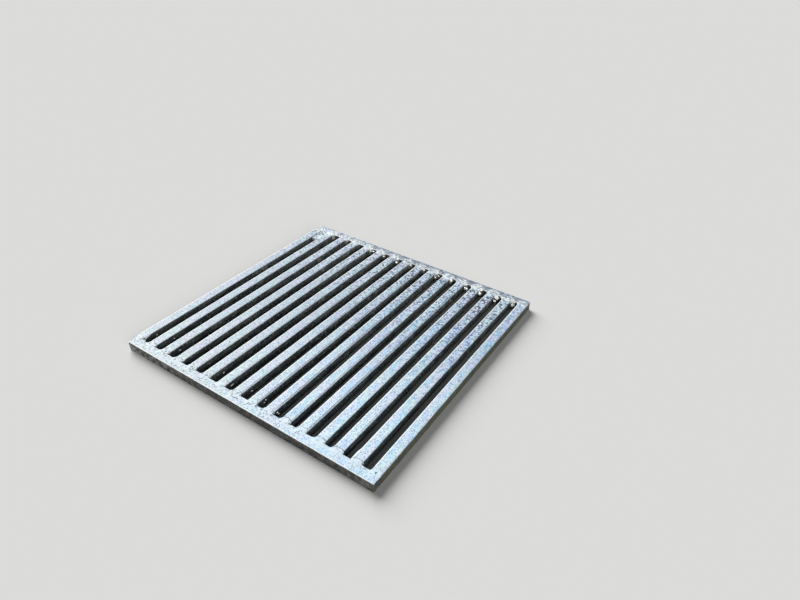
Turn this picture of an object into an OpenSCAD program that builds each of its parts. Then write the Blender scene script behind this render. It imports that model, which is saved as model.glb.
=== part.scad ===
// Welded steel bar grate for a small surface drain pit.
// Sixteen square bars run from a front end bar to a back end bar, with open slots between them.
// Every bar end butts against an end bar, is bevelled above and below, and is welded all round.
// The origin is at the centre of the underside. The bars run along Y, and the top faces +Z.

/* [Grate] */
// Width across the bars, over the two edge bars
grate_w = 300; // [200:10:600]
// Length along the bars, over the two end bars
grate_l = 298; // [120:2:600]

/* [Bars] */
// Number of bars between the two edge bars
inner_bars = 14; // [6:1:18]
// Width of each bar that runs along the grate
bar_w = 10; // [8:0.5:13]
// Height of every bar
bar_h = 10; // [9:0.5:40]
// Width of the two end bars
end_bar_w = 10; // [9:0.5:25]
// Radius of the long edges of the rolled bar
arris_r = 0.8; // [0.3:0.1:2]
// How far the left edge bar stands out past the end bars
edge_proud = 2; // [0:0.5:4]

/* [Hand spacing] */
// Share of the uneven spacing of the bars that is kept, where 0 spaces them evenly
hand_spacing = 1; // [0:0.1:1.5]

/* [Welds] */
// Depth of the bevel cut on each bar end, above and below
weld_prep = 3.5; // [1:0.25:4]
// How far the weld reaches out beside a bar, along the end bar
weld_fillet = 1.8; // [1:0.1:2.5]
// Diameter of the ground pad on top of each joint, at its foot
pad_d = 12.4; // [9:0.2:14]
// Diameter of the flat that grinding leaves on a pad
pad_flat_d = 8; // [4:0.2:8]
// Height of a pad above the bars
pad_h = 0.4; // [0.2:0.1:1]
// How far a pad is centred over the end bar
pad_shift = 1; // [0:0.25:3]
// How far the side welds stop above the underside, so that the bars take the load
weld_clear = 0.3; // [0.1:0.1:1]
// How far the side welds lie below the top of the bars
weld_drop = 0.1; // [0.1:0.05:0.5]

/* [Filled slot end] */
// Length of the weld metal that closes the back end of the first slot
fill_l = 22; // [8:1:60]
// Thickness of that weld metal
fill_t = 6; // [2:0.5:8]
// How far it lies below the top of the bars
fill_sink = 0.5; // [0.2:0.1:1]

/* [Hidden] */
$fn = 48;
overshoot = 1;
last_bar = inner_bars + 1;
bar_l = grate_l - 2 * end_bar_w;
pitch = (grate_w - bar_w) / last_bar;
end_bar_l = grate_w - edge_proud;
joint_y = bar_l / 2;
weld_r = bar_w / 2 + weld_fillet;
trim_w = grate_w - 2 * arris_r;
// Shift of each bar from even spacing, from the left edge bar to the right, at its front and back ends
front_shift = [0, -0.1, -0.5, 0.3, -0.4, -0.4, 0.2, 0.4, 0.9, 0.8, 1.6, 0.4, 0.6, -0.3, -0.1, 0];
back_shift = [0, -0.4, 1.3, 1.4, 1.5, 2.2, 2.6, 2.2, 1.8, 0.3, 0.8, 0.8, 1, 1.1, 1, 0];
zinc = [0.80, 0.85, 0.90];
weld_grey = [0.70, 0.74, 0.78];

function bar_name(i) = str("bar_", i < 10 ? "0" : "", i);

// Value of a table at u, which runs from 0 at the left edge bar to 1 at the right edge bar
function along(table, u) = lookup(u * (len(table) - 1), [for (k = [0:len(table) - 1]) [k, table[k]]]);

// Measured position across the grate of one end of a bar, where side is -1 at the front and 1 at the back
function seen_x(i, side) = (bar_w - grate_w) / 2 + i * pitch
    + hand_spacing * along(side < 0 ? front_shift : back_shift, i / last_bar);

function mid_x(i) = (seen_x(i, -1) + seen_x(i, 1)) / 2;

// Nearest angle whose cosine has six decimals, so that the turned solids stay exact
function exact_angle(a) = sign(a) * acos(1 - round(1e6 * (1 - cos(a))) / 1e6);

// Small turn that takes a bar from its front position to its back position
function bar_turn(i) = exact_angle(atan((seen_x(i, -1) - seen_x(i, 1)) / bar_l));

function end_x(i, side) = mid_x(i) - side * tan(bar_turn(i)) * bar_l / 2;

// Outline of a rolled square bar that stands on the X axis
module bar_section(w) {
    translate([arris_r - w / 2, 0]) square([w - 2 * arris_r, bar_h]);
    translate([-w / 2, arris_r]) square([w, bar_h - 2 * arris_r]);
    for (side = [-1, 1], z = [arris_r, bar_h - arris_r]) {
        translate([side * (w / 2 - arris_r), z]) circle(r = arris_r);
    }
}

// Plain length of bar along Y, centred
module bar_blank(w, l) {
    rotate([90, 0, 0]) linear_extrude(height = l, center = true) bar_section(w);
}

// Wedge that bevels the top of a bar end, with the end face at Y = 0 and the bar on the -Y side
module bevel_cut() {
    rotate([90, 0, 90]) linear_extrude(height = bar_w + 2 * overshoot, center = true) polygon([
        [-weld_prep - overshoot, bar_h + overshoot],
        [overshoot, bar_h + overshoot],
        [overshoot, bar_h - weld_prep - overshoot]
    ]);
}

// The two wedges that bevel a bar end, above and below
module bevel_cuts() {
    for (under = [0, 1]) {
        translate([0, 0, under * bar_h]) mirror([0, 0, under]) bevel_cut();
    }
}

// Moves a shape made for a bar end at Y = 0, with the bar on its -Y side, to one end of bar i
module at_end(i, side) {
    translate([end_x(i, side), side * joint_y, 0])
        mirror([0, side < 0 ? 1 : 0, 0]) rotate([0, 0, side * bar_turn(i)]) children();
}

// Full section of bar i, longer than it is cut
module bar_stock(i) {
    translate([mid_x(i), 0, 0]) rotate([0, 0, bar_turn(i)]) bar_blank(bar_w, bar_l + 2 * overshoot);
}

// Bar i cut to fit between the end bars, with both ends bevelled
module placed_bar(i) {
    difference() {
        bar_stock(i);
        for (side = [-1, 1]) {
            at_end(i, side) bevel_cuts();
            translate([-grate_w, side < 0 ? -joint_y - end_bar_w : joint_y, -overshoot])
                cube([2 * grate_w, end_bar_w, bar_h + 2 * overshoot]);
        }
    }
}

// End bar on the back side, against the bar ends
module end_bar() {
    translate([edge_proud / 2, joint_y + end_bar_w / 2, 0])
        rotate([0, 0, 90]) bar_blank(end_bar_w, end_bar_l);
}

// Weld metal beside a bar end and on top of it, for a bar end at Y = 0
module weld_ring() {
    translate([0, 0, weld_clear]) cylinder(r = weld_r, h = bar_h - weld_drop - weld_clear);
    translate([0, pad_shift, bar_h - 2 * weld_drop])
        cylinder(d1 = pad_d, d2 = pad_flat_d, h = pad_h + 2 * weld_drop);
}

// All the weld metal of one bar end, with the bevels filled and the bar's own space left open
module weld_metal() {
    difference() {
        union() {
            weld_ring();
            translate([-bar_w / 2, -weld_prep, 0]) cube([bar_w, weld_prep + overshoot, bar_h]);
        }
        difference() {
            translate([-bar_w / 2, -pad_d, -overshoot]) cube([bar_w, 2 * pad_d, bar_h + overshoot]);
            bevel_cuts();
        }
    }
}

// The row of welds along the front or back end bar
module weld_row(side) {
    flip = side < 0 ? 1 : 0;
    for (i = [0:last_bar]) {
        difference() {
            intersection() {
                at_end(i, side) weld_metal();
                translate([-trim_w / 2, -grate_l / 2, -overshoot])
                    cube([trim_w, grate_l, bar_h + 3 * overshoot]);
            }
            mirror([0, flip, 0]) translate([-grate_w, joint_y, -overshoot])
                cube([2 * grate_w, end_bar_w, bar_h + overshoot]);
        }
    }
}

module front_end_bar() {
    color(zinc) mirror([0, 1, 0]) end_bar();
}

module back_end_bar() {
    color(zinc) end_bar();
}

module left_edge_bar() {
    color(zinc) placed_bar(0);
}

module right_edge_bar() {
    color(zinc) placed_bar(last_bar);
}

module inner_bar(i) {
    color(zinc) placed_bar(i);
}

module front_welds() {
    color(weld_grey) weld_row(-1);
}

module back_welds() {
    color(weld_grey) weld_row(1);
}

// Weld metal that bridges the first slot at its back end
module slot_end_weld() {
    color(weld_grey) difference() {
        translate([end_x(0, 1), joint_y - fill_l, bar_h - fill_sink - fill_t])
            cube([end_x(1, 1) - end_x(0, 1), fill_l, fill_t]);
        for (i = [0, 1]) {
            bar_stock(i);
            at_end(i, 1) weld_ring();
        }
    }
}

front_end_bar();
back_end_bar();
left_edge_bar();
right_edge_bar();
for (i = [1:inner_bars]) {
    inner_bar(i);
}
front_welds();
back_welds();
slot_end_weld();
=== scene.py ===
"""Looks for the welded drain grate: hot-dip zinc on square bars, rippled welds, grime and a little rust."""

from collections import namedtuple
import math

import bpy
import numpy as np
from mathutils import Matrix, Vector


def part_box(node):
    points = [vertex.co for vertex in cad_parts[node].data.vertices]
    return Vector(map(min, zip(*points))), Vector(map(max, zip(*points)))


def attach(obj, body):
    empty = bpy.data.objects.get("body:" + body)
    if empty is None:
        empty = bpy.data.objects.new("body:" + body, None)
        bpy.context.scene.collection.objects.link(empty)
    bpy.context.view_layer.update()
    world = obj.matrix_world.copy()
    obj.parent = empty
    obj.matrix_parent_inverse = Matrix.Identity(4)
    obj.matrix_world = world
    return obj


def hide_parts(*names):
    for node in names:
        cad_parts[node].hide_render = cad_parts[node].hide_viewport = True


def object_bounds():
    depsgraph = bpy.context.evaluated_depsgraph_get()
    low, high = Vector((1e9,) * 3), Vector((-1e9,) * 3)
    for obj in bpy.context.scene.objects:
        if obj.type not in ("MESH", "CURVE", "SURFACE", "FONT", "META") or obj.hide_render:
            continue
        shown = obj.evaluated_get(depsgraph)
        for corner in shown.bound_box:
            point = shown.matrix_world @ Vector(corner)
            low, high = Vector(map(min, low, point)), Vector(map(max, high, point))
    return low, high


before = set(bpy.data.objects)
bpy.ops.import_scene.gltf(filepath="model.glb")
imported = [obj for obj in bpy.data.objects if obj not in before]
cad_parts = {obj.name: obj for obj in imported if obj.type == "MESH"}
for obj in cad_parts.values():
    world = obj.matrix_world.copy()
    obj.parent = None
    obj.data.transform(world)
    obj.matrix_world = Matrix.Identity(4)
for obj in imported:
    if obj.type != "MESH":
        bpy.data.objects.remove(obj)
cad_low, cad_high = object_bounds()

MM = 0.001
SEED = 1269

# Layout of the grate, in millimetres, as in the part's source. X runs across the bars and Y along them.
WIDTH, LENGTH, BAR = 300.0, 298.0, 10.0
JOINT_Y = LENGTH / 2 - BAR

# Shift of each bar from even spacing at its front and back ends, as in the part's source
FRONT_SHIFT = [0, -0.1, -0.5, 0.3, -0.4, -0.4, 0.2, 0.4, 0.9, 0.8, 1.6, 0.4, 0.6, -0.3, -0.1, 0]
BACK_SHIFT = [0, -0.4, 1.3, 1.4, 1.5, 2.2, 2.6, 2.2, 1.8, 0.3, 0.8, 0.8, 1, 1.1, 1, 0]
LAST = len(FRONT_SHIFT) - 1

# How far the left edge bar stands out past the end bars, and where hand welding cuts it back: y and outer x
EDGE_PROUD = 2.0
CUT_BACK = EDGE_PROUD - WIDTH / 2
LEFT_TAPER = [
    (-LENGTH / 2, CUT_BACK), (-141.2, CUT_BACK), (-133.3, -WIDTH / 2),
    (137.4, -WIDTH / 2), (140.0, CUT_BACK), (LENGTH / 2, CUT_BACK),
]


# Smooth random fields

class Field:
    """Smooth noise over space: random values on a lattice, blended between its points."""

    SIZE = 32

    def __init__(self, seed, cell):
        self.values = np.random.RandomState(seed).uniform(-1, 1, (self.SIZE,) * 3)
        self.cell = cell

    def __call__(self, points):
        p = np.asarray(points, float) / self.cell
        base = np.floor(p).astype(int)
        t = p - base
        t = t * t * (3 - 2 * t)
        total = 0.0
        for corner in np.ndindex(2, 2, 2):
            index = (base + corner) % self.SIZE
            weight = np.prod(np.where(corner, t, 1 - t), axis=-1)
            total = total + weight * self.values[index[..., 0], index[..., 1], index[..., 2]]
        return total


# The number is the distance between lattice points, in millimetres
slow_wave = Field(SEED, 23.0)
quick_wave = Field(SEED + 1, 6.0)
nick_noise = Field(SEED + 2, 2.6)
fine_wave = Field(SEED + 3, 1.9)
grit_wave = Field(SEED + 4, 0.7)
# Shifts that give the quick wave other shapes: in weld corners, and on the fill's top and underside
CORNER_SHIFT, TOP_SHIFT, UNDER_SHIFT = 7, 11, 23


def smooth(low, high, value):
    """0 below low, 1 above high, with a soft step between them."""
    t = np.clip((value - low) / (high - low), 0, 1)
    return t * t * (3 - 2 * t)


def bar_x(i, y):
    """Centre of bar i across the grate, at y along it."""
    t = (y + JOINT_Y) / (2 * JOINT_Y)
    return (BAR - WIDTH) / 2 + i * (WIDTH - BAR) / LAST + FRONT_SHIFT[i] * (1 - t) + BACK_SHIFT[i] * t


# Weld pads, in millimetres: half sizes across and along, and how far they are centred over the end bar
PAD_ACROSS, PAD_ALONG, PAD_CENTRE = 6.2, 4.9, 0.8

# How strong the dark line of painted shade is at the foot of each pad, and where it fades in, along Y from
# the pad's centre
FRONT_LINE = [0.2, 0.2, 0.2, 0.2, 0.3, 0.35, 0.35, 0.5, 0.5, 0.35, 1.0, 0.5, 0.7, 0.8, 0.7, 0.3]
BACK_LINE = 0.25
LINE_FADE = (0.5, -2.5)
# Distance that counts as far from every weld
NO_WELD = 9.0


def bead_fields(points):
    """Distance of each point from the nearest weld, where 1 is the foot of its pad, and that weld's line."""
    nearest = np.full(len(points), NO_WELD)
    line = np.zeros(len(points))
    for i in range(LAST + 1):
        for side in (-1, 1):
            u = points[:, 0] - bar_x(i, side * JOINT_Y)
            v = side * points[:, 1] - JOINT_Y - PAD_CENTRE
            away = np.hypot(u / PAD_ACROSS, v / PAD_ALONG)
            strength = (FRONT_LINE[i] if side < 0 else BACK_LINE) * smooth(*LINE_FADE, v)
            line = np.where(away < nearest, strength, line)
            nearest = np.minimum(nearest, away)
    return nearest, line


# Mesh helpers

# Masks that the material reads, with the values of a plain sheltered face
PLAIN_MASKS = {"shelter": 1.0, "arris": 0.0, "rim": 0.0, "lump": 0.0, "across": 0.0}


def in_mm(corners):
    """Corners of a box, from metres to millimetres."""
    return [np.array(corner) / MM for corner in corners]


def new_object(name, data):
    """An object in the scene that shows a mesh, lamp or camera."""
    made = bpy.data.objects.new(name, data)
    bpy.context.scene.collection.objects.link(made)
    return made


def new_mesh(name, points, faces, material, masks):
    """A smooth-shaded object from points in millimetres, with one float attribute for each mask."""
    points = np.asarray(points, float).reshape(-1, 3)
    mesh = bpy.data.meshes.new(name)
    mesh.from_pydata((points * MM).tolist(), [], faces)
    mesh.validate()
    bead, line = bead_fields(points)
    masks = {**PLAIN_MASKS, "depth": BAR - points[:, 2], "bead": bead, "line": line, **masks}
    for label, values in masks.items():
        layer = mesh.attributes.new(label, "FLOAT", "POINT")
        layer.data.foreach_set("value", np.asarray(np.ravel(values) + np.zeros(len(points)), np.float32))
    mesh.shade_smooth()
    mesh.materials.append(material)
    return new_object(name, mesh)


def new_piece(node, points, faces, material, masks):
    """A mesh that stands for a CAD node."""
    piece = new_mesh(node + "_zinc", points, faces, material, masks)
    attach(piece, "root")
    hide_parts(node)
    return piece


def turned_over(faces):
    """The same faces, looking the other way."""
    return [tuple(reversed(face)) for face in faces]


def tube_faces(rings, around):
    """Quads of a closed tube whose rings each hold the same number of points, with a cap on each end."""
    faces = []
    for ring in range(rings - 1):
        a = ring * around
        b = a + around
        for k in range(around):
            n = (k + 1) % around
            faces.append((a + k, a + n, b + n, b + k))
    faces.append(tuple(reversed(range(around))))
    faces.append(tuple(range((rings - 1) * around, rings * around)))
    return faces


def skin_faces(across, along):
    """Faces of a closed skin between an upper and a lower grid of points."""
    count = across * along
    faces = []
    for a in range(across - 1):
        for b in range(along - 1):
            k = a * along + b
            faces.append((k, k + along, k + along + 1, k + 1))
            faces.append((count + k, count + k + 1, count + k + along + 1, count + k + along))
    rim = [a * along for a in range(across)]
    rim += [(across - 1) * along + b for b in range(1, along)]
    rim += [a * along + along - 1 for a in range(across - 2, -1, -1)]
    rim += list(range(along - 2, 0, -1))
    for a, b in zip(rim, rim[1:] + rim[:1]):
        faces.append((a, count + a, count + b, b))
    return faces


def faces_out(points, faces):
    """The faces of a closed mesh, turned over if they look inwards."""
    volume = 0.0
    for face in faces:
        for k in range(1, len(face) - 1):
            volume += np.dot(points[face[0]], np.cross(points[face[k]], points[face[k + 1]]))
    return turned_over(faces) if volume < 0 else faces


def press_pits(x, y, z, pits, lowest=-math.inf):
    """Takes soft round pits out of the heights z, in place, where they are above the lowest height."""
    for pit_x, pit_y, across, along, deep in pits:
        pit = deep * np.exp(-((x - pit_x) / across) ** 2 - ((y - pit_y) / along) ** 2)
        z -= pit * (z > lowest)


# Bars

# Shape, in millimetres: radius of the arrises, rounding of the ends, and distance between rings of points
ARRIS_R = 0.55
END_ROUND = 0.7
RING_STEP, END_BAR_RING_STEP = 1.4, 0.7

# Surface: depth of the waves in the zinc, with the slow wave's share, and of those along the cut-back edge
ZINC_WAVE, SLOW_SHARE, TAPER_WAVE = 0.05, 0.6, 0.03
# Nicks in the arrises: the noise above which they start, and their depth for each unit above it
NICK_LEVEL, NICK_DEPTH = 0.70, 0.4
# How much a face turns where an arris begins and where it is full, from 0 on a flat to 1
ARRIS_FADE = (0.25, 0.9)

# Cuts of a section: of each arris, side and underside, and of the top of a bar and of an end bar
ARRIS_CUTS, SIDE_CUTS, UNDER_CUTS, TOP_CUTS, END_BAR_TOP_CUTS = 4, 6, 5, 9, 18

# Angles of the rings that round off a bar's end
END_ANGLES = np.radians([0, 30, 60])

# Spare weld metal on the left side of one bar: the bar, its width, where it grows along Y, and up Z
SPARE_BAR, SPARE_WIDTH = 14, 0.7
SPARE_RUN, SPARE_RISE = (-126, -129), (2.0, 6.0)

# How dark the thin line of painted groove shade along the right edge of each bar is, and how far it hides
# the dirt below it
RIM_LINE = [0.2, 0.2, 0.3, 0.2, 0.3, 0.5, 0.5, 0.8, 1.0, 1.0, 0.7, 1.0, 0.1, 0.6, 0.1, 0.1]
RIM_DEPTH = 0.9
# It hides dirt where it is darker than this, and fades in between two values of the stretched slow wave
RIM_STRONG, RIM_SHOWN, RIM_STRETCH = 0.5, (-0.5, 0.1), (1.0, 0.5, 1.0)

# How far inside the left or front edge, and the right or back edge, a face still counts as an outer side
OUTER_LOW, OUTER_HIGH = 2.2, 1.2
# Least part of its normal with which a face looks a way: for outer sides, and for all others
OUTER_FACING, FACING = 0.5, 0.1


def bar_section(width, height, top_cuts):
    """Points round a rolled bar, counter-clockwise from the lower right, with their outward normals."""
    right = width / 2 - ARRIS_R
    points, normals = [], []
    corners = [
        (right, ARRIS_R, -90, SIDE_CUTS),
        (right, height - ARRIS_R, 0, top_cuts),
        (-right, height - ARRIS_R, 90, SIDE_CUTS),
        (-right, ARRIS_R, 180, UNDER_CUTS),
    ]
    for index, (cx, cz, start, cuts) in enumerate(corners):
        for k in range(ARRIS_CUTS + 1):
            angle = math.radians(start + 90 * k / ARRIS_CUTS)
            normal = (math.cos(angle), math.sin(angle))
            points.append((cx + ARRIS_R * normal[0], cz + ARRIS_R * normal[1]))
            normals.append(normal)
        nx, nz, next_start = corners[(index + 1) % 4][:3]
        angle = math.radians(next_start)
        last = points[-1]
        ahead = (nx + ARRIS_R * math.cos(angle), nz + ARRIS_R * math.sin(angle))
        for k in range(1, cuts):
            t = k / cuts
            points.append((last[0] + t * (ahead[0] - last[0]), last[1] + t * (ahead[1] - last[1])))
            normals.append(normals[-1])
    return np.array(points), np.array(normals)


def bar_stations(start, end, step):
    """Places of the rings along a bar, and how far each ring is drawn in to round off the ends."""
    lead = END_ROUND * (1 - np.cos(END_ANGLES))
    drawn_in = END_ROUND * (1 - np.sin(END_ANGLES))
    straight = np.linspace(start + END_ROUND, end - END_ROUND, int((end - start) / step))
    stations = np.concatenate([start + lead, straight, end - lead[::-1]])
    inset = np.concatenate([drawn_in, np.zeros(len(straight)), drawn_in[::-1]])
    return stations, inset


def bar_rings(node, along, index):
    """Rings of points on a plain bar, their normals, how far each is drawn in, and the section itself."""
    low, high = in_mm(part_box(node))
    across = 1 - along
    if along:
        section, normals = bar_section(BAR, high[2] - low[2], TOP_CUTS)
        stations, inset = bar_stations(-JOINT_Y, JOINT_Y, RING_STEP)
        centre = bar_x(index, stations)[:, None]
    else:
        section, normals = bar_section(high[across] - low[across], high[2] - low[2], END_BAR_TOP_CUTS)
        stations, inset = bar_stations(low[0], high[0], END_BAR_RING_STEP)
        centre = (low[across] + high[across]) / 2
    points = np.zeros((len(stations), len(section), 3))
    points[..., along] = stations[:, None]
    points[..., across] = centre + section[:, 0]
    points[..., 2] = low[2] + section[:, 1]
    outward = np.zeros_like(points)
    outward[..., across] = normals[:, 0]
    outward[..., 2] = normals[:, 1]
    return points, outward, inset, section


def hand_marks(points, outward, index):
    """Cuts the left edge bar back near its ends, and adds the spare weld metal to its bar, in place."""
    if index == 0:
        y, x = zip(*LEFT_TAPER)
        edge = np.interp(points[..., 1], y, x) + TAPER_WAVE * quick_wave(points)
        points[..., 0] = np.maximum(points[..., 0], edge)
    if index == SPARE_BAR:
        left_face = outward[..., 0] < -FACING
        grow = smooth(*SPARE_RUN, points[..., 1]) * left_face * smooth(*SPARE_RISE, points[..., 2])
        points[..., 0] -= SPARE_WIDTH * grow


def bar_masks(points, outward, section, corner, along, index):
    """Masks of a bar: arrises for a painted highlight, the dark line of painted groove shade, the depth of
    the dirt, and the grate's outer sides.
    """
    across = 1 - along
    low, high = cad_low[across] / MM + OUTER_LOW, cad_high[across] / MM - OUTER_HIGH
    low_side = (points[..., across] < low) & (outward[..., across] < -OUTER_FACING)
    high_side = (points[..., across] > high) & (outward[..., across] > OUTER_FACING)
    upper = outward[..., 2] > -FACING
    depth = BAR - points[..., 2]
    rim = np.zeros(depth.shape)
    if along:
        shown = RIM_LINE[index] * smooth(*RIM_SHOWN, slow_wave(points[:, 0] * RIM_STRETCH))
        rim = shown[:, None] * upper
        depth = depth - RIM_DEPTH * np.clip(rim - RIM_STRONG, 0, 1) * (outward[..., 0] > FACING)
    return {
        "across": section[:, 0] * upper,
        "rim": rim,
        "depth": depth,
        "shelter": np.where(low_side | high_side, 0.0, 1.0),
        "arris": corner,
    }


def bar_piece(node, along, material, index=None):
    """Replaces a bar of the frame by one with rounded, slightly uneven zinc-coated faces."""
    points, outward, inset, section = bar_rings(node, along, index)
    corner = smooth(*ARRIS_FADE, 2 * np.abs(outward[..., 1 - along] * outward[..., 2]))
    wave = SLOW_SHARE * slow_wave(points) + (1 - SLOW_SHARE) * quick_wave(points)
    nick = np.clip(nick_noise(points) - NICK_LEVEL, 0, 1) * corner
    points -= outward * (inset[:, None] + ZINC_WAVE * (0.5 + 0.5 * wave) + NICK_DEPTH * nick)[..., None]
    hand_marks(points, outward, index)
    masks = bar_masks(points, outward, section, corner, along, index)
    faces = tube_faces(len(points), len(section))
    if not along:
        faces = turned_over(faces)
    return new_piece(node, points, faces, material, masks)


# Welds

# Heights, in millimetres: a pad's rise and its limit, the drop of the weld beside it, and the weld's foot
PAD_RISE, PAD_LIMIT, BESIDE_DROP, WELD_FOOT = 0.16, 0.36, 0.26, 0.5
# Strength of the waves: slow in a pad's rise, quick and fine in its outline, and quick beside it
PAD_UNEVEN, PAD_WOBBLE, PAD_GRAIN, BESIDE_WAVE = 0.3, 0.14, 0.07, 0.12
# Ripples: height, number from a pad's middle to its foot, and share of their height beside the pads
RIPPLE_HEIGHT, RIPPLES, BESIDE_RIPPLE = 0.035, 4.2, 0.5
# Turns that the slow and the quick wave add to the ripples
RIPPLE_DRIFT, RIPPLE_WOBBLE = 0.5, 0.25
# Where a weld is in a slot's corner, across and along, and how deep and uneven it sinks there
CORNER_ACROSS, CORNER_ALONG = (4.8, 6.2), (1.0, -1.0)
CORNER_SINK, CORNER_WAVE = 0.10, 0.10
# The weld's rim: the share of the way out where it starts to round over, and how far it drops
RIM_START, RIM_DROP = 0.84, 0.85
# Sides: strength of the quick and fine waves, stretch of the quick one, and how far they tuck in
SIDE_LUMPS, SIDE_GRAIN, SIDE_STRETCH, SIDE_TUCK = 0.22, 0.12, (1, 1, 0.6), 0.9
# Shares of the way down between which the lumps and the tuck grow, and how fast the rim ends there
LUMPS_GROW, TUCK_GROWS, RIM_SLOPE = (0.0, 0.14), (0.45, 1.0), 6
# Least distance from the edge of the grate's box
SKIN = 0.02
# Bars whose weld is lower in the corner to their right, and by how much
LOW_CORNER_BARS, LOW_CORNER = (7, 8, 9), 0.5

# Outline of a weld: number of points, and its middle
OUTLINE_POINTS = 88
OUTLINE_MIDDLE = np.array([0.0, 0.5])
# Its flanks: the shares of reach and run where they bend, and half their distance at the bar and over it
FLANK_BEND = (0.42, 0.38)
AT_BAR, OVER_BAR = 4.9, 3.2
# The left half of its stretch over the end bar
OVER_END_BAR = [(-6.3, 2.2), (-4.6, 4.6), (-1.8, 5.9)]

# Rings of a weld: shares of the way out over the top, shares of the way down, and size and height underneath
TOP_SHARES = np.concatenate([np.linspace(0.02, 0.86, 19), [0.91, 0.95, 0.98, 1.0]])
SIDE_SHARES = (0.06, 0.14, 0.24, 0.36, 0.5, 0.64, 0.78, 0.9, 1.0)
UNDER_RINGS = ((0.97, 0.25), (0.9, 0.12), (0.5, 0.1), (0.05, 0.1))

# Welds in the corners of each slot: reach and run in the left corner, then in the right corner
FRONT_CORNERS = [
    (4.2, 11.0, 2.2, 4.0), (1.5, 2.8, 2.5, 3.5), (1.6, 4.2, 2.5, 4.5), (2.2, 5.0, 1.2, 4.2),
    (2.5, 3.0, 2.2, 3.0), (1.4, 4.0, 0.5, 1.5), (1.8, 2.5, 2.7, 3.5), (2.5, 3.0, 0.5, 1.5),
    (3.6, 4.0, 2.5, 3.5), (3.0, 4.5, 2.0, 4.0), (1.1, 3.0, 2.0, 4.4), (1.7, 2.2, 3.0, 3.2),
    (2.5, 2.4, 2.0, 5.0), (3.1, 3.4, 0.5, 1.5), (4.2, 3.6, 0.8, 3.0),
]
BACK_CORNERS = [
    (2.0, 3.0, 2.2, 3.0), (2.6, 4.0, 1.2, 2.5), (2.8, 3.5, 1.4, 2.0), (2.4, 4.5, 1.0, 2.0),
    (3.0, 4.0, 1.5, 2.5), (2.2, 3.0, 1.0, 2.0), (2.8, 3.5, 1.2, 2.0), (3.0, 4.5, 1.6, 3.0),
    (2.4, 3.0, 1.0, 2.0), (2.6, 4.0, 1.4, 2.5), (2.2, 3.5, 3.2, 4.0), (3.0, 4.0, 3.0, 4.0),
    (2.8, 4.5, 1.5, 3.0), (3.2, 4.0, 4.0, 5.0), (3.0, 4.0, 1.8, 3.0),
]
# Reach and run on the outer side of the edge bars
OUTER_CORNER = (0.0, 3.0)

# How pale the weld is in the left corner at the back of each slot, partly pale zinc and partly painted
# highlight, and where: across, along and up
BACK_PALE = [0.3, 0.4, 0.4, 0.1, 0.6, 0.8, 1.0, 0.4, 0.9, 0.8, 1.0, 1.0, 1.0, 1.0, 0.7]
PALE_ACROSS, PALE_ALONG, PALE_UP = (4.2, 5.4), (0.8, 0.0), (0.6, 3.0)

# Small pits in the weld surface: x, y, half widths across and along, and depth
PITS = [
    (-139.4, -136.8, 0.65, 1.3, 1.8), (145.0, -139.2, 0.5, 0.5, 1.5),
    (139.2, -141.0, 0.5, 0.5, 0.5), (136.4, -140.6, 0.5, 0.4, 0.5),
    (131.4, -137.8, 0.7, 0.45, 1.6), (135.3, -139.3, 0.7, 0.45, 1.6), (133.4, -138.6, 0.4, 0.4, 0.9),
    (113.0, -136.9, 0.7, 0.4, 1.5), (115.4, -138.4, 0.6, 0.4, 1.2),
]
# Pits only touch the metal that is less than this far below the top of the bars
PIT_REACH = 2.0
# The notch in the front corner to the right of each inner bar: how far off the bar's middle, besides the
# reach of the weld, how far off the end bar, and its half widths and depth
NOTCH_OFF_BAR, NOTCH_OFF_END, NOTCH_SHAPE = 4.0, 0.5, (1.3, 0.5, 2.2)

# Where a weld counts as partly outside: how near to the grate's sides, how far down, and its shelter there
OUTER_NEAR, OUTER_DOWN, OUTER_SHELTER = 4.0, 1.0, 0.3
# How far down the welds stay clean
WELD_CLEAN = 0.35


def rounded_loop(corners, count):
    """Evenly spaced points on a closed Catmull-Rom curve through the corners."""
    p = np.array(corners, float)
    before, after, beyond = np.roll(p, 1, 0), np.roll(p, -1, 0), np.roll(p, -2, 0)
    t = np.linspace(0, 1, 12, endpoint=False)[:, None, None]
    curve = 0.5 * (2 * p + (after - before) * t + (2 * before - 5 * p + 4 * after - beyond) * t ** 2
                   + (3 * p - before - 3 * after + beyond) * t ** 3)
    curve = curve.transpose(1, 0, 2).reshape(-1, 2)
    curve = np.vstack([curve, curve[:1]])
    length = np.concatenate([[0], np.cumsum(np.hypot(*np.diff(curve, axis=0).T))])
    even = np.linspace(0, length[-1], count, endpoint=False)
    return np.stack([np.interp(even, length, curve[:, k]) for k in (0, 1)], -1)


def joint_corners(i, side):
    """Reach and run of the weld on the left and right side of bar i."""
    table = FRONT_CORNERS if side < 0 else BACK_CORNERS
    left = table[i - 1][2:] if i > 0 else OUTER_CORNER
    right = table[i][:2] if i < LAST else OUTER_CORNER
    return left, right


def weld_flank(reach, run, sign):
    """Outline of a weld on one side of its bar, from the end bar to the middle of the pad."""
    half = BAR / 2
    bend = (half + FLANK_BEND[0] * reach, -FLANK_BEND[1] * run)
    corners = [(half + reach, 0.0), bend, (AT_BAR, -run), (OVER_BAR, -half)]
    return [(sign * u, v) for u, v in corners]


def weld_outline(i, side):
    """Outline of the weld round a bar end, across and out of the slots from the middle of the joint."""
    left, right = (weld_flank(*corner, sign) for corner, sign in zip(joint_corners(i, side), (-1, 1)))
    over_right = [(-u, v) for u, v in reversed(OVER_END_BAR)]
    return rounded_loop(right + [(0, -BAR / 2)] + left[::-1] + OVER_END_BAR + over_right, OUTLINE_POINTS)


def placed(uv, z, i, side):
    """Points on the grate for places round the end of bar i."""
    middle_x = bar_x(i, side * JOINT_Y)
    return np.stack([middle_x + uv[:, 0], side * (JOINT_Y + uv[:, 1]), np.zeros(len(uv)) + z], -1)


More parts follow.
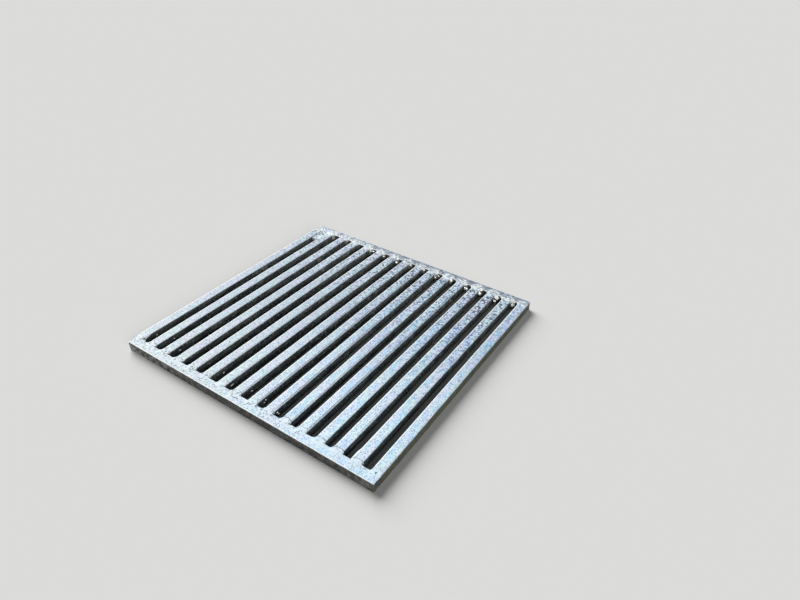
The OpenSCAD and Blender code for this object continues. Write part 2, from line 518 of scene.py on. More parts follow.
def weld_top(outline, i, side):
    """Rings of the ground pad, rippled and rounded over at its rim, and a mask for the rim."""
    low_corner = LOW_CORNER if side < 0 and i in LOW_CORNER_BARS else 0.0
    rings, edges = [], []
    for share in TOP_SHARES:
        uv = OUTLINE_MIDDLE + share * (outline - OUTLINE_MIDDLE)
        flat = placed(uv, 0, i, side)
        rho = np.hypot(uv[:, 0] / PAD_ACROSS, (uv[:, 1] - PAD_CENTRE) / PAD_ALONG)
        rho = rho * (1 + PAD_WOBBLE * quick_wave(flat) + PAD_GRAIN * fine_wave(flat))
        turns = RIPPLES * rho + RIPPLE_DRIFT * slow_wave(flat) + RIPPLE_WOBBLE * quick_wave(flat)
        ripple = RIPPLE_HEIGHT * np.sin(2 * np.pi * turns)
        pad = BAR + PAD_RISE * (1 - rho ** 2) * (1 + PAD_UNEVEN * slow_wave(flat)) + ripple
        level = BAR - BESIDE_DROP + BESIDE_WAVE * quick_wave(flat) + BESIDE_RIPPLE * ripple
        height = np.maximum(np.minimum(pad, BAR + PAD_LIMIT), level)
        corner = smooth(*CORNER_ACROSS, np.abs(uv[:, 0])) * smooth(*CORNER_ALONG, uv[:, 1])
        sink = CORNER_SINK + CORNER_WAVE * quick_wave(flat + CORNER_SHIFT)
        height -= corner * sink + low_corner * corner * (uv[:, 0] > 0)
        edge = max(0.0, (share - RIM_START) / (1 - RIM_START))
        height -= RIM_DROP * (1 - math.sqrt(max(0.0, 1 - edge ** 2)))
        rings.append(placed(uv, height, i, side))
        edges.append(edge)
    return rings, edges


def weld_sides(outline, top, i, side):
    """Rings down the lumpy sides of a weld, which tuck in towards the underside, and a mask for the rim."""
    angle = np.arctan2(outline[:, 1], outline[:, 0])
    outward = np.stack([np.cos(angle), np.sin(angle)], -1)
    rings, edges = [], []
    for share in SIDE_SHARES:
        z = top + share * (WELD_FOOT - top)
        flat = placed(outline, z, i, side)
        lump = SIDE_LUMPS * quick_wave(flat * SIDE_STRETCH) + SIDE_GRAIN * fine_wave(flat)
        tuck = SIDE_TUCK * smooth(*TUCK_GROWS, share)
        push = (lump - tuck) * smooth(*LUMPS_GROW, share)
        rings.append(placed(outline + push[:, None] * outward, z, i, side))
        edges.append(max(0.0, 1 - share * RIM_SLOPE))
    return rings, edges


def weld_under(foot, i, side):
    """Rings that close a weld underneath."""
    middle = np.array([bar_x(i, side * JOINT_Y), side * JOINT_Y])
    rings = []
    for size, z in UNDER_RINGS:
        ring = foot.copy()
        ring[:, :2] = middle + size * (foot[:, :2] - middle)
        ring[:, 2] = z
        rings.append(ring)
    return rings


def joint(i, side):
    """Closed mesh of the weld metal round a bar end: a ground pad on top and fillets in the slot corners."""
    outline = weld_outline(i, side)
    middle_x = bar_x(i, side * JOINT_Y)
    top_rings, top_edges = weld_top(outline, i, side)
    side_rings, side_edges = weld_sides(outline, top_rings[-1][:, 2], i, side)
    rings = top_rings + side_rings + weld_under(side_rings[-1], i, side)
    points = np.concatenate(rings)
    arris = np.repeat(top_edges + side_edges + [0.0] * len(UNDER_RINGS), len(outline))
    pale = np.zeros(len(points))
    if side > 0 and i < LAST:
        u, v = points[:, 0] - middle_x, points[:, 1] - JOINT_Y
        pale = BACK_PALE[i] * smooth(*PALE_ACROSS, u) * smooth(*PALE_ALONG, v)
        pale = pale * smooth(*PALE_UP, points[:, 2])
    pits = list(PITS)
    if side < 0 and 0 < i < LAST:
        reach = joint_corners(i, side)[1][0]
        pits.append((middle_x + NOTCH_OFF_BAR + reach, NOTCH_OFF_END - JOINT_Y, *NOTCH_SHAPE))
    left_limit = np.interp(points[:, 1], *zip(*LEFT_TAPER)) + SKIN
    points[:, 0] = np.clip(points[:, 0], left_limit, WIDTH / 2 - SKIN)
    points[:, 1] = np.clip(points[:, 1], SKIN - LENGTH / 2, LENGTH / 2 - SKIN)
    press_pits(points[:, 0], points[:, 1], points[:, 2], pits, BAR - PIT_REACH)
    return points, faces_out(points, tube_faces(len(rings), len(outline))), arris, pale


# Lumps in the slots

# Slot, off the left wall, off the end bar, height, half sizes across, along and up
BACK_LUMPS = [
    (2, 1.6, 0.6, 5.6, 1.5, 1.4, 1.4), (3, 2.4, 0.4, 6.8, 1.4, 1.2, 1.2),
    (5, 0.8, 1.7, 7.2, 2.2, 2.2, 1.7), (5, 5.0, 0.8, 7.6, 1.7, 1.5, 1.2),
    (6, 0.8, 2.7, 6.8, 2.2, 2.1, 1.8), (7, 2.1, 5.1, 6.8, 2.6, 2.2, 1.7),
    (8, 1.7, 1.6, 7.8, 1.9, 1.8, 1.4), (9, 1.2, 1.2, 7.8, 2.0, 1.8, 1.5),
    (10, 1.6, 5.5, 6.8, 2.1, 2.0, 1.7), (10, 4.4, 1.4, 7.0, 1.5, 1.6, 1.4),
    (11, 1.3, 1.9, 7.6, 2.6, 2.2, 1.7), (12, 3.3, 5.0, 6.8, 3.5, 3.0, 2.4),
    (13, 1.7, 4.7, 6.8, 2.7, 2.7, 2.2), (14, 2.3, 1.6, 7.2, 3.6, 3.3, 2.3),
    (14, 2.0, 7.8, 6.6, 2.4, 2.0, 1.6), (15, 3.5, 3.6, 6.8, 3.0, 2.6, 2.1),
    (15, 3.3, 0.2, 8.4, 1.8, 0.9, 1.0),
]
FRONT_LUMPS = [
    (1, 0.3, 16.5, 5.6, 0.9, 1.4, 0.9), (2, 0.3, 22.6, 5.6, 0.8, 1.0, 0.8),
    (3, 0.3, 13.8, 5.4, 0.9, 1.3, 0.9), (6, 0.3, 16.4, 4.4, 0.9, 1.5, 0.9),
    (7, 0.3, 8.5, 5.8, 0.9, 2.2, 0.8), (8, 0.3, 13.9, 4.8, 0.9, 1.6, 0.8),
    (9, 0.3, 11.4, 6.6, 0.9, 1.0, 0.8), (9, 0.4, 9.0, 5.2, 0.9, 1.0, 0.8),
    (10, 0.6, 6.6, 4.8, 1.1, 1.2, 1.1), (10, 0.4, 5.4, 7.2, 1.0, 1.1, 0.9),
]
# Knobs on each lump at the back: number, how far out they sit, and least and most size against the lump
KNOBS, KNOB_OUT, KNOB_SIZE = 3, 0.62, (0.35, 0.55)
# A lump's core against its half sizes, its roughness, and its rings, points around and angle at the poles
LUMP_CORE, LUMP_ROUGH = 0.85, 0.28
LUMP_RINGS, LUMP_AROUND, LUMP_POLE = 12, 20, 0.08
# The way out of the slots, up and to the front, towards which the lumps are pale as painted light
LUMP_LIT_WAY = (0.35, -0.42, 0.84)
# A lump's surface: squeeze of the fine wave, and strength of the grit on it
KNOB_SQUEEZE, KNOB_GRIT = 1.3, 0.7
# How far a lump looks that way, and how high its surface is, where it is pale as painted light
LIT_WAY, LIT_KNOB = (-0.5, 0.2), (-0.9, -0.4)


def blob(centre, radii):
    """Closed lump of pale weld spatter with a knobbly surface: the pale colour, painted light, is kept to
    the side that looks out of the slot and to its knob tops, and the rest takes the dirt.
    """
    ways = []
    for a in np.linspace(LUMP_POLE, math.pi - LUMP_POLE, LUMP_RINGS):
        for b in np.linspace(0, 2 * math.pi, LUMP_AROUND, endpoint=False):
            ways.append((math.sin(a) * math.cos(b), math.sin(a) * math.sin(b), -math.cos(a)))
    way = np.array(ways)
    points = np.array(centre) + way * np.array(radii)
    knob = fine_wave(points * KNOB_SQUEEZE) + KNOB_GRIT * grit_wave(points)
    points += way * (LUMP_ROUGH * min(radii) * knob)[:, None]
    # Painted light: pale on the side that looks out of the slot and on the knob tops
    clean = smooth(*LIT_WAY, way @ LUMP_LIT_WAY) * smooth(*LIT_KNOB, knob)
    return points, tube_faces(LUMP_RINGS, LUMP_AROUND), np.zeros(len(points)), clean


def lumps(side):
    """Lumps of weld metal in the slots, on the right face of the bar to the left of each slot."""
    random = np.random.RandomState(SEED + side)
    parts = []
    for slot, off_wall, off_end, z, *radii in FRONT_LUMPS if side < 0 else BACK_LUMPS:
        y = side * (JOINT_Y - off_end)
        centre = np.array((bar_x(slot - 1, y) + BAR / 2 + off_wall, y, z))
        radii = np.array(radii)
        parts.append(blob(centre, LUMP_CORE * radii))
        for _ in range(KNOBS if side > 0 else 0):
            way = random.normal(size=3)
            size = random.uniform(*KNOB_SIZE)
            parts.append(blob(centre + KNOB_OUT * radii * way / np.linalg.norm(way), radii * size))
    return parts


def join(parts):
    """Points, faces and masks of several closed meshes as one."""
    faces, base = [], 0
    for part in parts:
        faces.extend([tuple(v + base for v in face) for face in part[1]])
        base += len(part[0])
    points, arris, pale = (np.concatenate([part[k] for part in parts]) for k in (0, 2, 3))
    return points, faces, arris, pale


def weld_piece(node, side, material):
    """The row of welds at the front or the back, with the lumps in the slots beside them."""
    points, faces, arris, pale = join([joint(i, side) for i in range(LAST + 1)] + lumps(side))
    outside = (np.abs(points[:, 0]) > WIDTH / 2 - OUTER_NEAR) & (points[:, 2] < BAR - OUTER_DOWN)
    masks = {
        "arris": arris,
        "lump": pale,
        "shelter": np.where(outside, OUTER_SHELTER, 1.0),
        "depth": (BAR - WELD_CLEAN - points[:, 2]) * (1 - pale),
    }
    return new_piece(node, points, faces, material, masks)


# Filled slot end

# Points across and along, how far the metal laps into the bars round it, and its nose's share of its length
FILL_GRID = (34, 84)
FILL_LAP, FILL_NOSE = 0.5, 0.10
# Its top: how far below the node's box, how far it falls at the nose and sags, and how far below the bars
FILL_TOP_DROP, FILL_TOP_FALL, FILL_SAG, FILL_BELOW_BARS = 0.25, 1.6, 0.15, 0.05
# Its underside: how far above the node's box, how far it climbs at the nose, and how far that is drawn in
FILL_UNDER_RISE, FILL_UNDER_CLIMB, FILL_TOE = 0.4, 1.2, 0.6
# How far down it stays clean, and its pits, where a negative depth is a bump
FILL_CLEAN = 1.5
FILL_PITS = [
    (-133.5, 133.4, 1.1, 1.1, 2.2), (-137.0, 132.3, 0.6, 2.0, 1.4), (-134.0, 117.8, 2.0, 1.8, -0.7),
]
# Strength of the quick wave above and below, and of the fine wave above
FILL_WAVE, FILL_GRAIN = 0.3, 0.25
# How near to a weld it counts for the dirt, and how pale it is
FILL_BEAD, FILL_PALE = 1.45, 0.12


def fill_piece(material):
    """The lumpy weld metal that closes the back end of the first slot."""
    low, high = in_mm(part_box("slot_end_weld"))
    u, v = (np.linspace(0, 1, count) for count in FILL_GRID)
    y = (JOINT_Y + FILL_LAP) + v * (low[1] - JOINT_Y - FILL_LAP)
    left = bar_x(0, y) + BAR / 2 - FILL_LAP
    right = bar_x(1, y) - BAR / 2 + FILL_LAP
    x = left[None, :] + u[:, None] * (right - left)[None, :]
    grid = np.stack([x, y[None, :] + np.zeros_like(x), np.zeros_like(x)], -1)
    nose = smooth(0.0, FILL_NOSE, 1 - v)[None, :]
    top = high[2] - FILL_TOP_DROP + FILL_WAVE * quick_wave(grid + TOP_SHIFT) + FILL_GRAIN * fine_wave(grid)
    top -= FILL_TOP_FALL * (1 - nose) + FILL_SAG * np.sin(math.pi * u)[:, None]
    press_pits(grid[..., 0], grid[..., 1], top, FILL_PITS)
    upper, lower = grid.copy(), grid.copy()
    upper[..., 2] = np.minimum(top, BAR - FILL_BELOW_BARS)
    under = low[2] + FILL_UNDER_RISE + FILL_WAVE * quick_wave(grid + UNDER_SHIFT)
    lower[..., 2] = under + FILL_UNDER_CLIMB * (1 - nose)
    lower[:, -1, 1] += FILL_TOE
    points = np.concatenate([upper.reshape(-1, 3), lower.reshape(-1, 3)])
    faces = faces_out(points, skin_faces(*FILL_GRID))
    masks = {"bead": FILL_BEAD, "lump": FILL_PALE, "depth": np.maximum(0, BAR - FILL_CLEAN - points[:, 2])}
    return new_piece("slot_end_weld", points, faces, material, masks)


# Material

# Tones, in linear red, green and blue. Those that end in _tint multiply the colour below them.
TONES = {
    "speck_left": (0.26, 0.33, 0.41), "speck_right": (0.30, 0.42, 0.60),
    "near_left": (0.63, 0.69, 0.72), "near_right": (0.80, 0.91, 1.0), "near_bright": (0.88, 0.93, 0.94),
    "blotch": (0.008, 0.016, 0.045), "far": (0.515, 0.63, 0.75), "fleck": (0.92, 0.99, 1.0),
    "lilac_tint": (1.0, 0.965, 1.05), "cyan_tint": (0.94, 1.02, 1.01), "sky_reflection_tint": (0.78, 0.94, 1.06),
    "back_shade_tint": (0.845, 0.865, 0.93), "warm_tint": (1.0, 1.0, 0.965),
    "dull": (0.17, 0.20, 0.26), "weld_highlight": (0.92, 0.98, 0.96),
    "near_arris": (0.82, 0.88, 0.92), "far_arris": (0.72, 0.80, 0.86),
    "left_edge": (0.93, 0.95, 0.93), "groove_shade": (0.10, 0.11, 0.15),
    "pad_left": (0.71, 0.79, 0.84), "pad_right": (0.75, 0.87, 0.95), "crease": (0.12, 0.15, 0.20),
    "lip": (0.26, 0.20, 0.17), "hole_shade": (0.03, 0.035, 0.045),
    "damp_cold": (0.008, 0.015, 0.022), "damp_green": (0.021, 0.022, 0.013),
    "brown": (0.050, 0.028, 0.018), "streak": (0.11, 0.12, 0.115), "glint": (0.38, 0.41, 0.42),
    "front_wall": (0.006, 0.009, 0.013), "back_wall": (0.13, 0.135, 0.13),
    "patch": (0.40, 0.43, 0.41), "spatter": (0.30, 0.30, 0.28),
    "side_dark": (0.032, 0.034, 0.033), "side_pale": (0.37, 0.37, 0.355), "side_damp": (0.025, 0.025, 0.020),
    "side_green": (0.085, 0.08, 0.030), "side_unseen": (0.17, 0.18, 0.18),
    "lump": (0.97, 0.98, 0.92), "rust": (0.16, 0.065, 0.030),
}

# Plain noises: scale per metre, detail, roughness and distortion
MOTTLE = (480, 4, 0.65, 0.6)
SPECK = (1150, 3, 0.6, 0.0)
GRAIN = (2600, 2, 0.5, 0.0)
FOOT = (230, 3, 0.55, 0.0)

# Patterns: a noise, the two values between which it fades in, its least and most, distortion and stretch
Pattern = namedtuple(
    "Pattern", "scale detail rough low high least most distort stretch", defaults=(0.0, 1.0, 0.0, None))
PATTERNS = {
    "blotch": Pattern(330, 2, 0.5, 0.465, 0.525, distort=0.5),
    "fleck": Pattern(430, 2, 0.5, 0.53, 0.57),
    "drift": Pattern(80, 2, 0.5, 0.40, 0.60, stretch=(1.4, 0.5, 1.0)),
    "blue": Pattern(130, 3, 0.55, 0.46, 0.62, stretch=(1.2, 0.6, 1.0)),
    "dull": Pattern(360, 3, 0.55, 0.61, 0.52, 0.0, 0.92),
    "weld_highlight": Pattern(440, 3, 0.55, 0.49, 0.54, 0.0, 0.95),
    "left_edge": Pattern(140, 2, 0.55, 0.35, 0.55, 0.55, 1.0),
    "wobble": Pattern(120, 2, 0.55, 0.3, 0.7, -0.25, 0.25),
    "broken": Pattern(330, 2, 0.55, 0.46, 0.56),
    "lip": Pattern(420, 3, 0.55, 0.46, 0.56, 0.0, 0.75),
    "dirt_edge": Pattern(190, 4, 0.65, 0.3, 0.7, -0.12, 0.16, distort=0.4),
    "damp": Pattern(60, 3, 0.55, 0.40, 0.60),
    "brown": Pattern(45, 3, 0.55, 0.58, 0.68, 0.0, 0.6),
    "streak": Pattern(80, 4, 0.6, 0.42, 0.64, stretch=(3.0, 0.6, 3.0)),
    "glint": Pattern(420, 3, 0.55, 0.56, 0.66, 0.0, 0.75),
    "patch": Pattern(90, 4, 0.65, 0.56, 0.64),
    "spatter": Pattern(150, 4, 0.7, 0.52, 0.59),
    "side": Pattern(210, 4, 0.7, 0.38, 0.62),
    "lump": Pattern(420, 2, 0.55, 0.38, 0.52, 0.4, 1.0),
    "rust": Pattern(150, 3, 0.6, 0.56, 0.66),
}

# How far the creases of the welds and the rims of the holes are pushed about, in metres
WARP = 0.005
# Scales of that push and of the creases, per metre
WARP_SCALE, CREASE_SCALE = 260, 270

# Small holes on top of the zinc, darkened as painted shade, and the brownish lip of the last slot at the
# front: x, y and radius
HOLES = [
    (144.8, -139.1, 0.85), (131.4, -137.8, 0.75), (135.4, -139.4, 0.8), (133.4, -138.7, 0.5),
    (113.0, -136.9, 0.7), (115.3, -138.4, 0.75), (117.6, -138.3, 0.5), (119.4, -138.2, 0.6),
    (127.8, -114.0, 0.55), (124.9, -97.6, 0.55), (145.1, -132.4, 0.5),
]
LIP = (133.6, -138.6, 4.2)

# Depth of the bumps, in metres, on the bars and on the welds
BAR_BUMP, WELD_BUMP = 0.00015, 0.0002


class Look:
    """Short ways to make and join the shader nodes of one material."""

    def __init__(self, name):
        self.material = bpy.data.materials.new(name)
        self.material.use_nodes = True
        self.nodes = self.material.node_tree.nodes
        self.links = self.material.node_tree.links
        self.place = self.node("TexCoord").outputs["Object"]
        parts = self.node("SeparateXYZ")
        self.links.new(self.place, parts.inputs["Vector"])
        self.x, self.y = parts.outputs["X"], parts.outputs["Y"]
        for label in ("depth", "shelter", "arris", "rim", "bead", "line", "lump", "across"):
            setattr(self, label, self.node("Attribute", attribute_name=label).outputs["Fac"])

    def node(self, kind, **settings):
        made = self.nodes.new("ShaderNode" + kind)
        for key, value in settings.items():
            setattr(made, key, value)
        return made

    def noise(self, scale, detail, rough, distort, stretch=None):
        made = self.node("TexNoise")
        vector = self.place
        if stretch:
            mapping = self.node("Mapping")
            mapping.inputs["Scale"].default_value = stretch
            self.links.new(vector, mapping.inputs["Vector"])
            vector = mapping.outputs["Vector"]
        self.links.new(vector, made.inputs["Vector"])
        labels = ("Scale", "Detail", "Roughness", "Distortion")
        self.fill([made.inputs[label] for label in labels], (scale, detail, rough, distort))
        return made.outputs["Fac"]

    def pattern(self, label):
        """A noise from the table, faded in between its two values."""
        p = PATTERNS[label]
        noise = self.noise(p.scale, p.detail, p.rough, p.distort, p.stretch)
        return self.remap(noise, p.low, p.high, p.least, p.most)

    def remap(self, value, low, high, least=0.0, most=1.0):
        """Least where the value is low and most where it is high, with a soft step between them."""
        made = self.node("MapRange", interpolation_type="SMOOTHSTEP")
        self.links.new(value, made.inputs["Value"])
        labels = ("From Min", "From Max", "To Min", "To Max")
        self.fill([made.inputs[label] for label in labels], (low, high, least, most))
        return made.outputs["Result"]

    def across_x(self, low, high, least=0.0, most=1.0):
        """A soft step between two places across the grate, in millimetres."""
        return self.remap(self.x, low * MM, high * MM, least, most)

    def along_y(self, low, high, least=0.0, most=1.0):
        """A soft step between two places along the grate, in millimetres."""
        return self.remap(self.y, low * MM, high * MM, least, most)

    def fill(self, sockets, values):
        """Links each socket, or sets it to a number or to the tone of that name."""
        for socket, value in zip(sockets, values):
            if isinstance(value, str):
                socket.default_value = (*TONES[value], 1)
            elif isinstance(value, (int, float)):
                socket.default_value = value
            else:
                self.links.new(value, socket)

    def maths(self, kind, a, b=0.0):
        made = self.node("Math", operation=kind)
        self.fill(made.inputs, (a, b))
        return made.outputs[0]

    def plus(self, a, b):
        return self.maths("ADD", a, b)

    def minus(self, a, b):
        return self.maths("SUBTRACT", a, b)

    def times(self, a, b):
        return self.maths("MULTIPLY", a, b)

    def most(self, a, b):
        return self.maths("MAXIMUM", a, b)

    def blend(self, factor, a, b, kind="MIX"):
        made = self.node("Mix", data_type="RGBA", blend_type=kind)
        self.fill((made.inputs[0], made.inputs[6], made.inputs[7]), (factor, a, b))
        return made.outputs[2]

    def tint(self, factor, a, b):
        return self.blend(factor, a, b, "MULTIPLY")

    def feed(self, value, label):
        """Joins a value to the material's shader."""
        self.links.new(value, self.nodes["Principled BSDF"].inputs[label])


def spangle(look, far, painted_sky_blue, mottle, speck):
    """Bare zinc: fine and pale in front, blotched at the back right, with slowly drifting tints. The
    paleness in front and the blue towards the right are painted sky reflection, and the darkening towards
    the back is painted shade.
    """
    dark = look.blend(painted_sky_blue, "speck_left", "speck_right")
    pale = look.blend(painted_sky_blue, "near_left", "near_right")
    near_zinc = look.blend(look.remap(speck, 0.395, 0.525), dark, pale)
    near_zinc = look.blend(look.remap(mottle, 0.56, 0.66, 0.0, 0.35), near_zinc, "near_bright")
    far_zinc = look.blend(look.pattern("blotch"), "blotch", "far")
    far_zinc = look.blend(look.pattern("fleck"), far_zinc, "fleck")
    zinc = look.blend(far, near_zinc, far_zinc)
    zinc = look.tint(1.0, zinc, look.blend(look.pattern("drift"), "lilac_tint", "cyan_tint"))
    # Clear blue patches towards the right, weaker at the back: painted sky reflection
    blue = look.times(look.pattern("blue"), look.remap(painted_sky_blue, 0.2, 0.9, 0.2, 0.9))
    blue = look.times(blue, look.remap(far, 0.5, 1.0, 1.0, 0.4))
    zinc = look.tint(blue, zinc, "sky_reflection_tint")
    # Painted shade: a little darker from the middle to the back left
    row = look.minus(look.y, look.times(look.x, 0.3))
    zinc = look.tint(look.remap(row, -0.11, 0.03), zinc, "back_shade_tint")
    return look.tint(1.0, zinc, "warm_tint")


def back_row(look, zinc):
    """The back end bar is dull in blotches, and a painted highlight makes it bright round the welds there.
    """
    dull = look.times(look.along_y(137, 141), look.pattern("dull"))
    dull = look.times(dull, look.across_x(-110, -40, 0.2, 1.0))
    zinc = look.blend(dull, zinc, "dull")
    # Painted highlight round the welds at the back
    weld_highlight = look.times(look.remap(look.bead, 1.7, 0.9), look.along_y(100, 130))
    return look.blend(look.times(weld_highlight, look.pattern("weld_highlight")), zinc, "weld_highlight")


def bar_edges(look, zinc, far):
    """Pale arrises and a pale left edge, both painted highlights, and the thin dark line of painted groove
    shade along the right edge of some bars.
    """
    # Painted highlight on the arrises of the bars and the rims of the welds
    arris_highlight = look.blend(far, "near_arris", "far_arris")
    zinc = look.blend(look.times(look.arris, 0.6), zinc, arris_highlight)
    # Painted highlight: a pale line along the left edge of each bar's top
    left_edge = look.times(look.remap(look.across, -3.9, -4.3), look.pattern("left_edge"))
    zinc = look.blend(left_edge, zinc, "left_edge")
    # Painted shade of a fine groove: a thin dark line along the right edge of some bars
    wobble = look.plus(look.across, look.pattern("wobble"))
    groove_shade = look.times(look.remap(wobble, 3.1, 3.4), look.remap(wobble, 4.15, 3.9))
    return look.blend(look.times(look.times(look.rim, groove_shade), 0.95), zinc, "groove_shade")


def pushed_about(look):
    """The place on the part, pushed about a little, for ragged creases and holes."""
    swirl = look.node("TexNoise")
    look.links.new(look.place, swirl.inputs["Vector"])
    swirl.inputs["Scale"].default_value = WARP_SCALE
    bent = look.node("VectorMath", operation="MULTIPLY_ADD")
    look.links.new(swirl.outputs["Color"], bent.inputs[0])
    bent.inputs[1].default_value = (WARP, WARP, WARP)
    look.links.new(look.place, bent.inputs[2])
    return bent.outputs[0]


def near_to(look, bent, x, y, radius):
    """1 within half the radius of a point on top of the grate, falling to 0 at the radius."""
    made = look.node("VectorMath", operation="DISTANCE")
    look.links.new(bent, made.inputs[0])
    made.inputs[1].default_value = tuple(v * MM + WARP / 2 for v in (x, y, BAR))
    return look.remap(made.outputs["Value"], radius * MM, 0.5 * radius * MM)


def weld_lines(look, bent):
    """Dark lines in the creases of the weld metal, and a dark line of painted shade at the foot of each pad.
    """
    crease = look.node("TexVoronoi", feature="DISTANCE_TO_EDGE")
    look.links.new(bent, crease.inputs["Vector"])
    crease.inputs["Scale"].default_value = CREASE_SCALE
    creases = look.times(look.remap(crease.outputs["Distance"], 0.11, 0.05), look.pattern("broken"))
    on_weld = look.times(look.remap(look.bead, 1.9, 1.2), look.across_x(30, 110, 1.0, 0.4))
    on_weld = look.times(on_weld, look.along_y(20, -50, 0.25, 1.0))
    # Painted shade: a thin dark line at the foot of each pad
    foot = look.plus(look.bead, look.times(look.minus(look.noise(*FOOT), 0.5), 0.7))
    foot_shade = look.times(look.remap(foot, 0.92, 0.98), look.remap(foot, 1.13, 1.06))
    return look.most(look.times(creases, look.times(on_weld, 0.9)), look.times(foot_shade, look.line))


def weld_marks(look, zinc, painted_sky_blue, bent, lines):
    """Evenly ground pads, more blue to the right as painted sky reflection, their dark lines with painted
    shade at each pad's foot, the brownish lip, and the small holes, darkened as painted shade.
    """
    ground_off = look.times(look.remap(look.bead, 1.9, 0.8, 0.0, 0.65), look.along_y(100, -100, 0.2, 1.0))
    zinc = look.blend(ground_off, zinc, look.blend(painted_sky_blue, "pad_left", "pad_right"))
    zinc = look.blend(lines, zinc, "crease")
    zinc = look.blend(look.times(near_to(look, bent, *LIP), look.pattern("lip")), zinc, "lip")
    # Painted shade in the small holes
    holes = near_to(look, bent, *HOLES[0])
    for spot in HOLES[1:]:
        holes = look.most(holes, near_to(look, bent, *spot))
    return look.blend(look.times(holes, 0.9), zinc, "hole_shade")


def slot_walls(look):
    """Dirt in the slots: duller towards the front, with patches of spattered zinc towards the back."""
    tone = look.blend(look.pattern("damp"), "damp_cold", "damp_green")
    for label in ("brown", "streak", "glint"):
        tone = look.blend(look.pattern(label), tone, label)
    tone = look.blend(look.along_y(-20, -120, 0.0, 0.35), tone, "front_wall")
    for label, start, end, most in (("patch", -20, 50, 0.8), ("spatter", 50, 110, 0.75)):
        shown = look.times(look.pattern(label), look.along_y(start, end, 0.0, most))
        tone = look.blend(shown, tone, label)
    return look.blend(look.along_y(-30, 80, 0.0, 0.36), tone, "back_wall")


def outer_sides(look):
    """Dirt on the outer sides: patchy, damp at mid front, greenish on the right, plain where unseen."""
    tone = look.blend(look.pattern("side"), "side_dark", "side_pale")
    off_middle = look.maths("ABSOLUTE", look.minus(look.x, 0.03))
    tone = look.blend(look.remap(off_middle, 0.06, 0.18, 0.72, 0.0), tone, "side_damp")
    tone = look.blend(look.across_x(146, 148.5, 0.0, 0.8), tone, "side_green")
    unseen = look.most(look.across_x(-146.5, -147.5), look.along_y(147.5, 148.5))
    return look.blend(look.times(unseen, 0.72), tone, "side_unseen")


def galvanised(name, bump_depth):
    """Hot-dip zinc: mottled spangle with painted sky reflection and painted shade, pale arrises as painted
    highlights, weld marks, and grime that thickens down the sides.
    """
    look = Look(name)
    mottle, speck, grain = look.noise(*MOTTLE), look.noise(*SPECK), look.noise(*GRAIN)
    # 0 at the front, 1 at the back right, and half of it on the right edge bar. The zinc is paler in front
    # as painted sky reflection, and darker towards the back right as painted shade, with coarser blotches
    # there
    far = look.remap(look.plus(look.times(look.x, 0.3), look.y), -0.10, 0.22)
    far = look.times(far, look.across_x(138.5, 140.5, 1.0, 0.5))
    # Painted sky reflection: 0 on the left, 1 on the right, where zinc, specks and ground pads are painted
    # more blue
    painted_sky_blue = look.across_x(-100, 120)
    bent = pushed_about(look)
    lines = weld_lines(look, bent)
    zinc = spangle(look, far, painted_sky_blue, mottle, speck)
    zinc = bar_edges(look, back_row(look, zinc), far)
    zinc = weld_marks(look, zinc, painted_sky_blue, bent, lines)

    dirty = look.remap(look.plus(look.depth, look.pattern("dirt_edge")), 0.22, 0.55)
    dirt = look.blend(look.shelter, outer_sides(look), slot_walls(look))
    colour = look.blend(look.times(dirty, 0.94), zinc, dirt)
    # Pale zinc on the lumps and the back corner welds, partly painted light
    colour = look.blend(look.times(look.lump, look.pattern("lump")), colour, "lump")
    rust = look.times(look.remap(look.bead, 1.6, 1.0), look.remap(look.depth, 0.8, 2.4))
    rust = look.times(rust, look.pattern("rust"))
    look.feed(look.blend(look.times(rust, 0.7), colour, "rust"), "Base Color")

    look.feed(look.most(look.times(look.minus(1.0, dirty), 0.06), look.times(look.lump, 0.65)), "Metallic")
    look.feed(look.remap(dirty, 0, 1, 0.25, 0.05), "Specular IOR Level")
    rough = look.plus(look.remap(mottle, 0.3, 0.7, 0.60, 0.44), look.times(dirty, 0.30))
    look.feed(look.minus(rough, look.times(look.lump, 0.30)), "Roughness")

    height = look.plus(look.plus(mottle, look.times(speck, 0.35)), look.times(grain, 0.15))
    bump = look.node("Bump")
    bump.inputs["Strength"].default_value = 0.5
    bump.inputs["Distance"].default_value = bump_depth
    look.links.new(look.minus(height, look.times(lines, 0.6)), bump.inputs["Height"])
    look.feed(bump.outputs["Normal"], "Normal")
    return look.material


# Stage, lights and camera

FLOOR_SIZE = 6.0
FLOOR_TONE = (0.80, 0.80, 0.79, 1)
FLOOR_ROUGHNESS = 0.9

# The camera: azimuth, elevation and roll in degrees, distance in metres, lens and sensor in millimetres
CAMERA_ANGLES = (32.5548, 35.2822, 1.8789)
CAMERA_DISTANCE = 0.6606158
CAMERA_LENS = 26.9222
CAMERA_SENSOR = 36
CAMERA_CLIP = 0.01
LOOK_AT = Vector((0.03031, 0.0672828, 0.010))

# The sky's tone and light, and how pale it looks beyond the edge of the floor
SKY_TONE = (0.93, 0.96, 0.98, 1)
SKY_STRENGTH = 0.055
BACKDROP_STRENGTH = 0.8

# Lamps: strength, spread in degrees, and the side that the light comes from
LAMPS = {
    "key": (3.98, 46, Vector((-0.77, 0.32, 0.55))),
    "fill": (1.16, 36, Vector((0.84, -0.38, 0.38))),
}


def plain_floor():
    """A pale matt floor under the grate."""
    mesh = bpy.data.meshes.new("floor")
    half = FLOOR_SIZE / 2
    corners = [(-half, -half, 0), (half, -half, 0), (half, half, 0), (-half, half, 0)]
    mesh.from_pydata(corners, [], [(0, 1, 2, 3)])
    floor = new_object("floor", mesh)
    material = bpy.data.materials.new("floor_paint")
    material.use_nodes = True
    shader = material.node_tree.nodes["Principled BSDF"]
    shader.inputs["Base Color"].default_value = FLOOR_TONE
    shader.inputs["Roughness"].default_value = FLOOR_ROUGHNESS
    shader.inputs["Specular IOR Level"].default_value = 0.0
    mesh.materials.append(material)


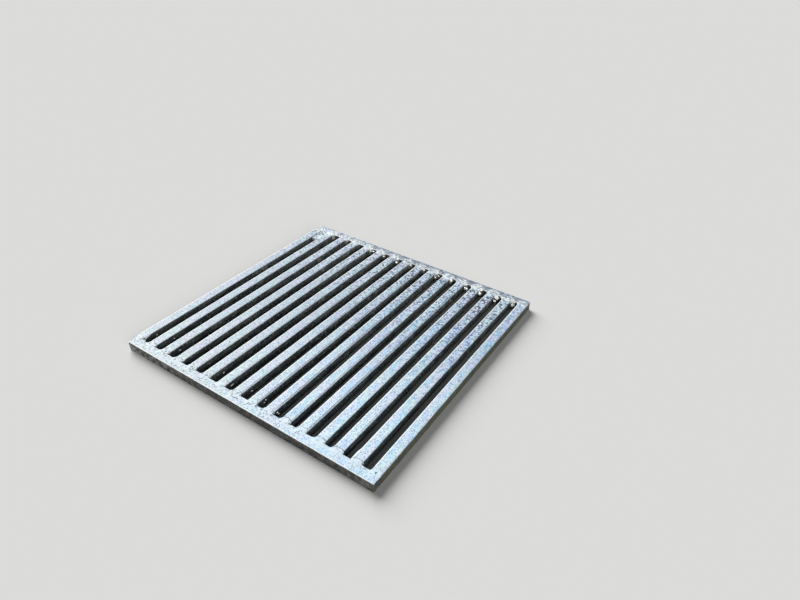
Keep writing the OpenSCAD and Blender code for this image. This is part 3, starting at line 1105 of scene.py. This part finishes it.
def sky():
    """Weak light from all round, which looks pale to the camera and in reflections only."""
    world = bpy.data.worlds.new("sky")
    bpy.context.scene.world = world
    world.use_nodes = True
    nodes, links = world.node_tree.nodes, world.node_tree.links
    nodes["Background"].inputs["Color"].default_value = SKY_TONE
    ray = nodes.new("ShaderNodeLightPath")
    total = ray.outputs["Is Camera Ray"]
    for label in ("Is Glossy Ray", "Is Transmission Ray"):
        plus = nodes.new("ShaderNodeMath")
        links.new(total, plus.inputs[0])
        links.new(ray.outputs[label], plus.inputs[1])
        total = plus.outputs[0]
    strength = nodes.new("ShaderNodeMapRange")
    links.new(total, strength.inputs["Value"])
    strength.inputs["To Min"].default_value = SKY_STRENGTH
    strength.inputs["To Max"].default_value = BACKDROP_STRENGTH
    links.new(strength.outputs["Result"], nodes["Background"].inputs["Strength"])


def lamps():
    """A broad key light from the back left and a weak fill from the front right."""
    for label, (power, spread, side) in LAMPS.items():
        lamp = bpy.data.lights.new(label, "SUN")
        lamp.angle = math.radians(spread)
        lamp.energy = power
        new_object(label, lamp).rotation_euler = side.to_track_quat("Z", "Y").to_euler()


def camera():
    """The photograph's viewpoint, found by fitting the grate's corners and bar edges."""
    azimuth, elevation, roll = map(math.radians, CAMERA_ANGLES)
    level = math.cos(elevation)
    forward = Vector((-math.sin(azimuth) * level, math.cos(azimuth) * level, -math.sin(elevation)))
    side = Vector((math.cos(azimuth), math.sin(azimuth), 0))
    rise = side.cross(forward)
    right = side * math.cos(roll) + rise * math.sin(roll)
    up = rise * math.cos(roll) - side * math.sin(roll)
    data = bpy.data.cameras.new("camera")
    data.lens = CAMERA_LENS
    data.sensor_width = CAMERA_SENSOR
    data.clip_start = CAMERA_CLIP
    holder = new_object("camera", data)
    axes = Matrix((right, up, -forward)).transposed().to_4x4()
    holder.matrix_world = Matrix.Translation(LOOK_AT - forward * CAMERA_DISTANCE) @ axes
    bpy.context.scene.camera = holder


zinc_bar = galvanised("galvanised_bar", BAR_BUMP)
zinc_weld = galvanised("galvanised_weld", WELD_BUMP)

long_bars = ["left_edge_bar"] + ["bar_%02d" % i for i in range(1, LAST)] + ["right_edge_bar"]
for position, name in enumerate(long_bars):
    bar_piece(name, 1, zinc_bar, position)
for name in ("front_end_bar", "back_end_bar"):
    bar_piece(name, 0, zinc_bar)
weld_piece("front_welds", -1, zinc_weld)
weld_piece("back_welds", 1, zinc_weld)
fill_piece(zinc_weld)

plain_floor()
sky()
lamps()
camera()
bpy.context.scene.view_settings.view_transform = "Standard"
